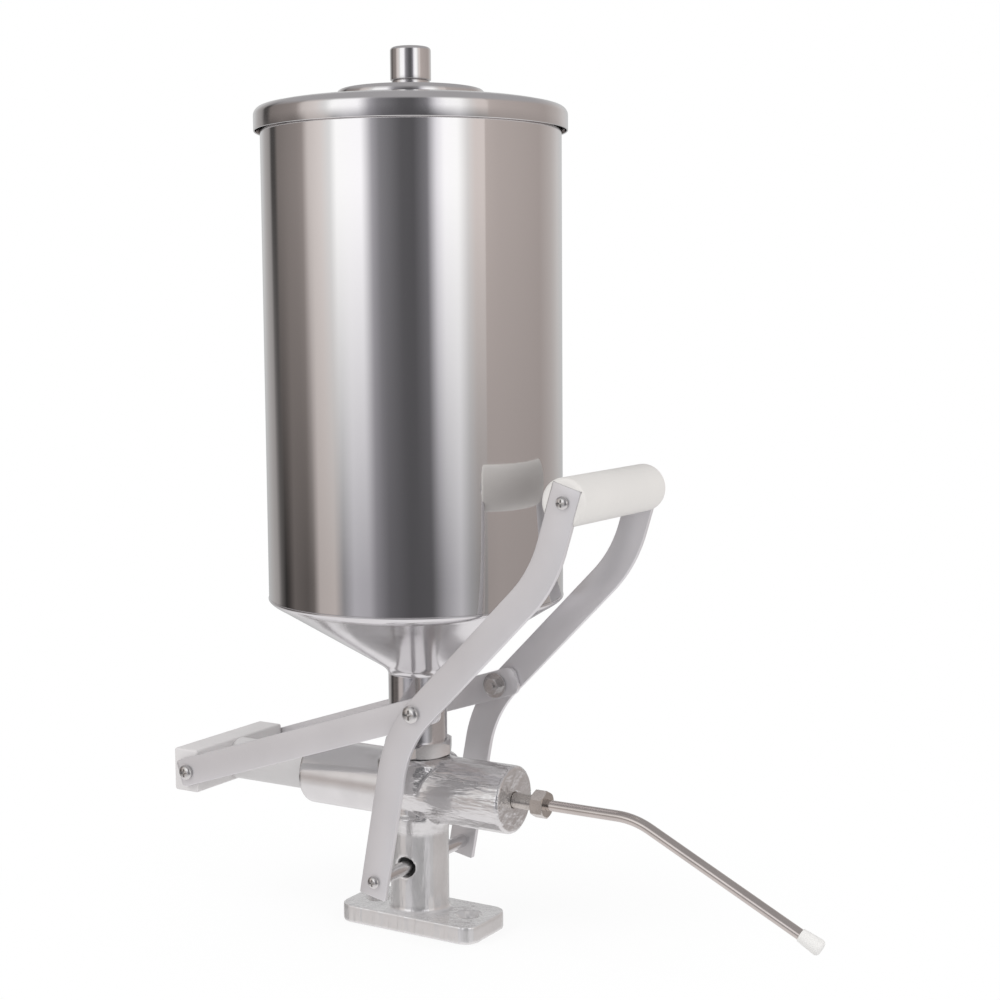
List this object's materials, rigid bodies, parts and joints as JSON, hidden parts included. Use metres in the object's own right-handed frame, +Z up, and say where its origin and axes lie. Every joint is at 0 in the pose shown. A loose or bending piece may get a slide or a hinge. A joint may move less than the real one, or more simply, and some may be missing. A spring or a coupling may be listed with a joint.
{
  "type": "churro maker",
  "caption": "Hand-lever churro filler: a lidded steel hopper over a plunger pump with two lever arms, connecting links, a bench foot and a bent nozzle tube.",
  "frame": {"origin": "on the underside of the foot, under the tank's axis", "axes": "+X along the pump towards the nozzle, +Y to the far arm, +Z up along the tank's axis"},
  "size_m": [0.4079, 0.1772, 0.5074],
  "materials": {
    "cast": "cast and belt-polished, satin with fine scratches",
    "steel": "turned, satin",
    "polished": "mirror-polished stainless sheet",
    "spun": "turned, semi-polished",
    "bar": "flat bar, linear satin",
    "screws": "bright stainless",
    "nickel": "nickel-plated, slightly worn",
    "brass": "bare brass, satin",
    "white": "turned nylon, matt",
    "dark": "dark bearing nylon, matt",
    "rubber": "moulded, matt"
  },
  "bodies": {
    "pump": {"pump_body": "cast", "cylinder_liner": "steel", "rod_wiper": "white", "pivot_bush": "dark", "throat_seal": "rubber", "throat_lock_nut": "steel", "funnel": "spun", "tank_seal": "rubber", "tank": "polished", "outlet_nipple": "steel", "gland_nut": "nickel"},
    "lid_unit": {"lid": "polished", "lid_knob_collar": "steel", "lid_knob": "polished", "lid_knob_screw": "screws", "lid_knob_washer": "screws"},
    "lever": {"lever_arm_near": "bar", "lever_arm_far": "bar", "grip": "white", "grip_screws": "screws", "pivot_axle": "steel", "axle_screws": "screws", "link_bolts": "screws", "link_bolt_washers": "screws", "link_bolt_nuts": "screws"},
    "plunger_unit": {"crosshead": "white", "plunger": "white", "plunger_rings": "rubber", "plunger_screw": "screws", "plunger_washer": "screws", "crosshead_pins": "screws"},
    "links": {"link_near": "bar", "link_far": "bar"},
    "nozzle": {"nozzle_tube": "steel", "nozzle_ferrule": "brass"},
    "tip": {"nozzle_tip": "white"}
  },
  "joints": [
    {"name": "lever_pivot", "type": "hinge", "parent": "pump", "child": "lever", "pos_m": [0.001, 0, 0.038], "axis": [0, 1, 0], "range_deg": [0, 30]},
    {"name": "plunger_slide", "type": "slide", "parent": "pump", "child": "plunger_unit", "axis": [1, 0, 0], "range_m": [0, 0.04]},
    {"name": "link_pivot", "type": "hinge", "parent": "plunger_unit", "child": "links", "pos_m": [-0.139, 0, 0.083], "axis": [0, 1, 0], "range_deg": [0, 9.1]},
    {"name": "lid_lift", "type": "slide", "parent": "pump", "child": "lid_unit", "axis": [0, 0, 1], "range_m": [0, 0.06]},
    {"name": "nozzle_turn", "type": "hinge", "parent": "pump", "child": "nozzle", "pos_m": [0.09, 0, 0.083], "axis": [1, 0, 0], "continuous": true},
    {"name": "tip_pull", "type": "slide", "parent": "nozzle", "child": "tip", "axis": [0.8949, 0, -0.4462], "range_m": [0, 0.008]}
  ],
  "couplings": [
    {"joint": "plunger_slide", "follows": "lever_pivot", "m_per_rad": 0.076089},
    {"joint": "link_pivot", "follows": "lever_pivot", "ratio": 0.29979}
  ]
}
